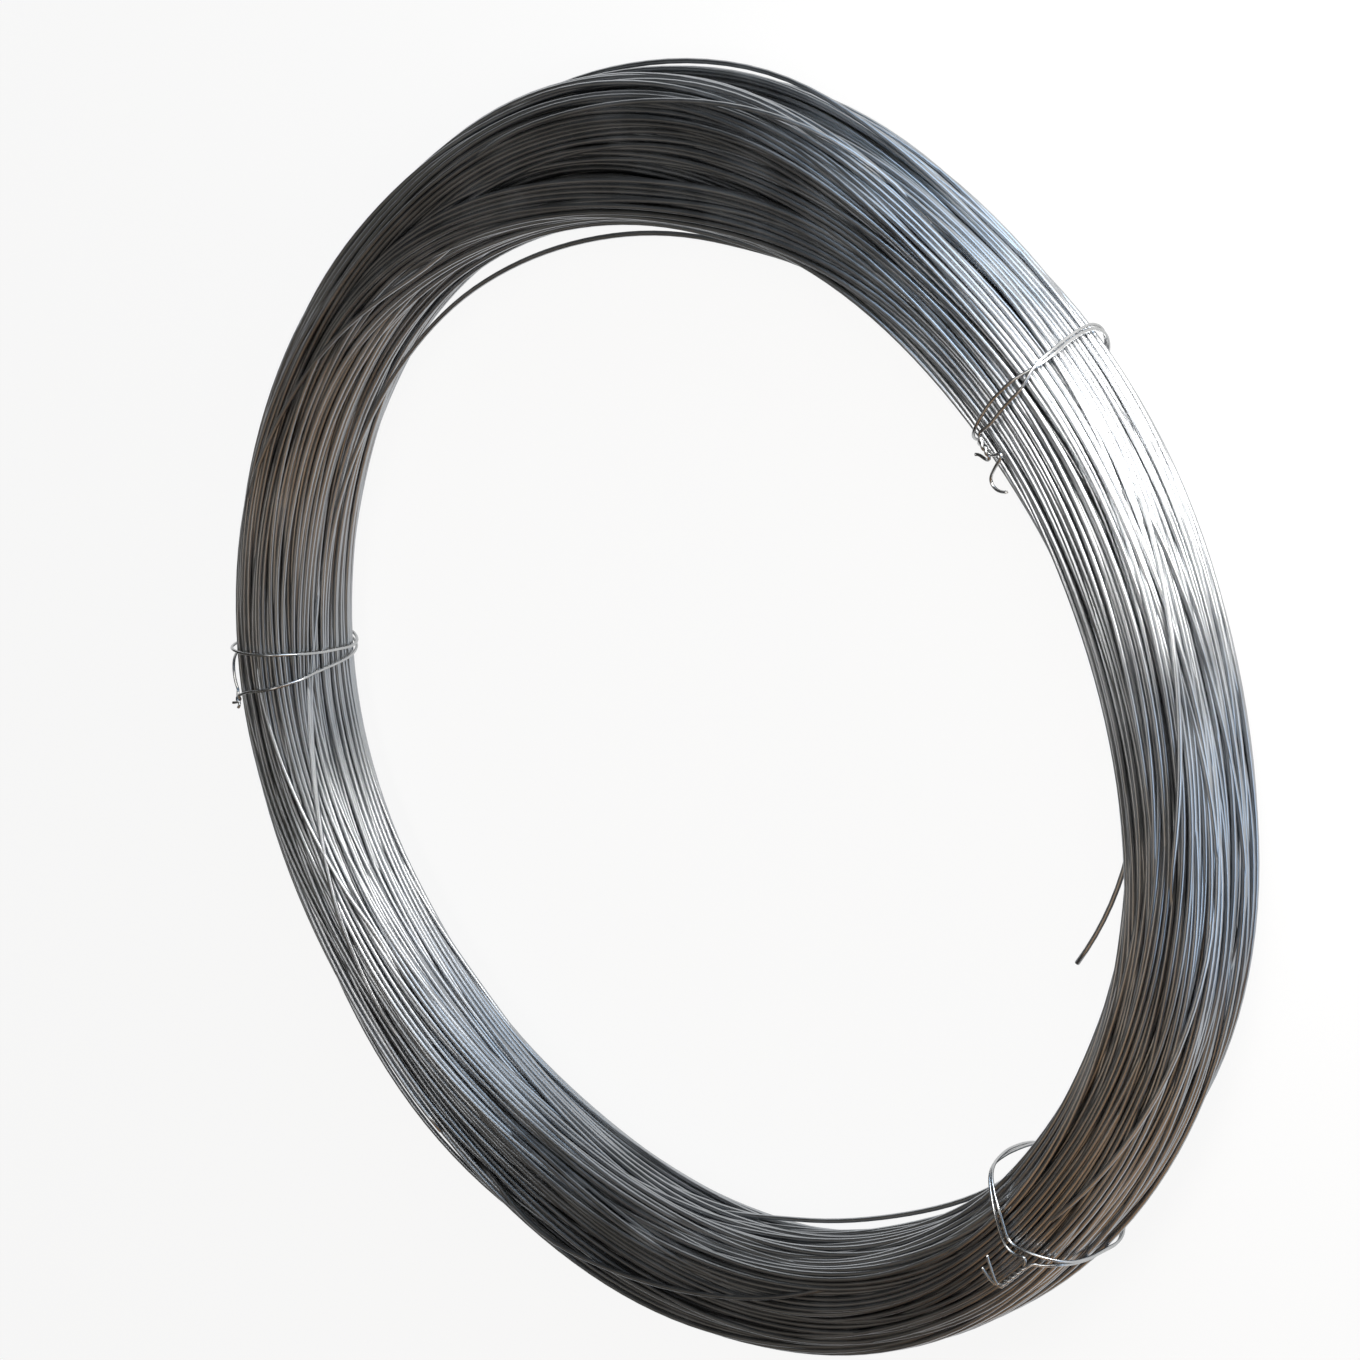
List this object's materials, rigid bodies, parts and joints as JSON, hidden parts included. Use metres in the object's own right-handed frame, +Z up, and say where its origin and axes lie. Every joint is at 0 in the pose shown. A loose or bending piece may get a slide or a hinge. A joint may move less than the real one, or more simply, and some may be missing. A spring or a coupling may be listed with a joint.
{
  "type": "coil of high-tensile wire",
  "caption": "Flat-lying coil of galvanised high-tensile wire, its turns bundled into a thick ring with an open eye and bound by twisted tie wires, with a free end and slack turns.",
  "frame": {"origin": "on the coil's axis, at the level of the floor that it lies on", "axes": "+Z up along the coil's axis; +X towards the slack side of the coil, which the picture shows at its top"},
  "size_m": [0.6205, 0.614, 0.0689],
  "materials": {
    "galvanised_wire": "galvanised drawn wire, semi-bright",
    "tie_wire": "soft annealed zinc-coated wire, satin"
  },
  "bodies": {
    "root": {"wire_coil": "galvanised_wire", "tie_wire_1": "tie_wire", "tie_wire_2": "tie_wire", "tie_wire_3": "tie_wire"}
  },
  "joints": []
}
